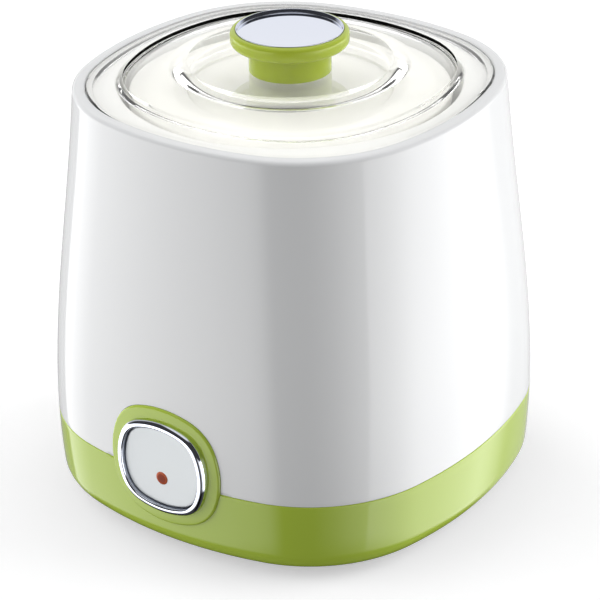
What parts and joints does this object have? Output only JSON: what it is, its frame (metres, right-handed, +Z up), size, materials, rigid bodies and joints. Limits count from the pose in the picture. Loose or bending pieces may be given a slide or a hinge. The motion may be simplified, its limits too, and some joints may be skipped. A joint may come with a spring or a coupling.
{
  "type": "yogurt maker",
  "caption": "Yogurt maker with a glossy white barrel housing on a pear-green base, a clear lid with a green knob, a lidded jar inside and a push button in a chrome bezel",
  "frame": {"origin": "centre of the footprint, on the plane the rubber feet stand on", "axes": "+Z up through the lid knob, -Y out of the button panel at the front, +X to the right of a person who faces the button"},
  "size_m": [0.1528, 0.1553, 0.1634],
  "materials": {
    "shell_white": "white polystyrene, polished mould face",
    "base_green": "pear green plastic, polished mould face",
    "knob_green": "pear green plastic, satin gloss",
    "liner_white": "white polypropylene, fine matt texture",
    "jar_frost": "natural milky polypropylene",
    "jar_lid_cream": "cream polyethylene, fine matt texture",
    "lid_clear": "clear polystyrene, polished both sides",
    "chrome": "chrome plated plastic",
    "button_silver": "silver lacquer on plastic, satin",
    "lens_red": "red acrylic, polished",
    "board_tan": "phenolic paper board",
    "inlet_black": "black heat-proof plastic",
    "fuse_sleeve": "glass-fibre sleeve",
    "heater_ceramic": "heating element in insulating film",
    "wire_brown": "silicone insulation",
    "wire_blue": "silicone insulation",
    "foot_rubber": "moulded rubber",
    "seal_silicone": "white silicone",
    "aluminium": "rolled sheet",
    "spring_steel": "plain steel",
    "screw_steel": "zinc plated steel",
    "brass": "turned brass"
  },
  "bodies": {
    "housing": {"outer_shell": "shell_white", "base_housing": "base_green", "inner_liner": "liner_white", "heater_plate": "aluminium", "ptc_heater": "heater_ceramic", "heater_clamp": "spring_steel", "clamp_screws": "screw_steel", "thermal_fuse": "fuse_sleeve", "base_screws": "screw_steel", "appliance_inlet": "inlet_black", "inlet_pins": "brass", "switch_board": "board_tan", "board_screws": "screw_steel", "switch_body": "inlet_black", "indicator_lamp": "lens_red", "button_bezel": "chrome", "button_spring": "spring_steel", "foot_front_left": "foot_rubber", "foot_front_right": "foot_rubber", "foot_back_left": "foot_rubber", "foot_back_right": "foot_rubber", "live_wire": "wire_brown", "switched_wire": "wire_brown", "fuse_lead": "wire_brown", "neutral_wire": "wire_blue", "lamp_wire": "wire_blue"},
    "button": {"push_button": "button_silver", "indicator_lens": "lens_red"},
    "jar": {"jar": "jar_frost"},
    "jar_lid": {"jar_lid": "jar_lid_cream", "jar_lid_seal": "seal_silicone"},
    "lid": {"lid_cover": "lid_clear", "lid_knob": "knob_green", "knob_cap": "chrome", "knob_screw": "screw_steel", "knob_washer": "screw_steel"}
  },
  "joints": [
    {"name": "button_press", "type": "slide", "parent": "housing", "child": "button", "axis": [0, 1, 0], "range_m": [0, 0.002], "stiffness_N_per_m": 500, "springref_m": -0.001, "deforming": ["button_spring"]},
    {"name": "jar_lift", "type": "slide", "parent": "housing", "child": "jar", "axis": [0, 0, 1], "range_m": [0, 0.125]},
    {"name": "jar_lid_lift", "type": "slide", "parent": "jar", "child": "jar_lid", "axis": [0, 0, 1], "range_m": [0, 0.03]},
    {"name": "lid_lift", "type": "slide", "parent": "jar_lid", "child": "lid", "axis": [0, 0, 1], "range_m": [0, 0.06]}
  ]
}
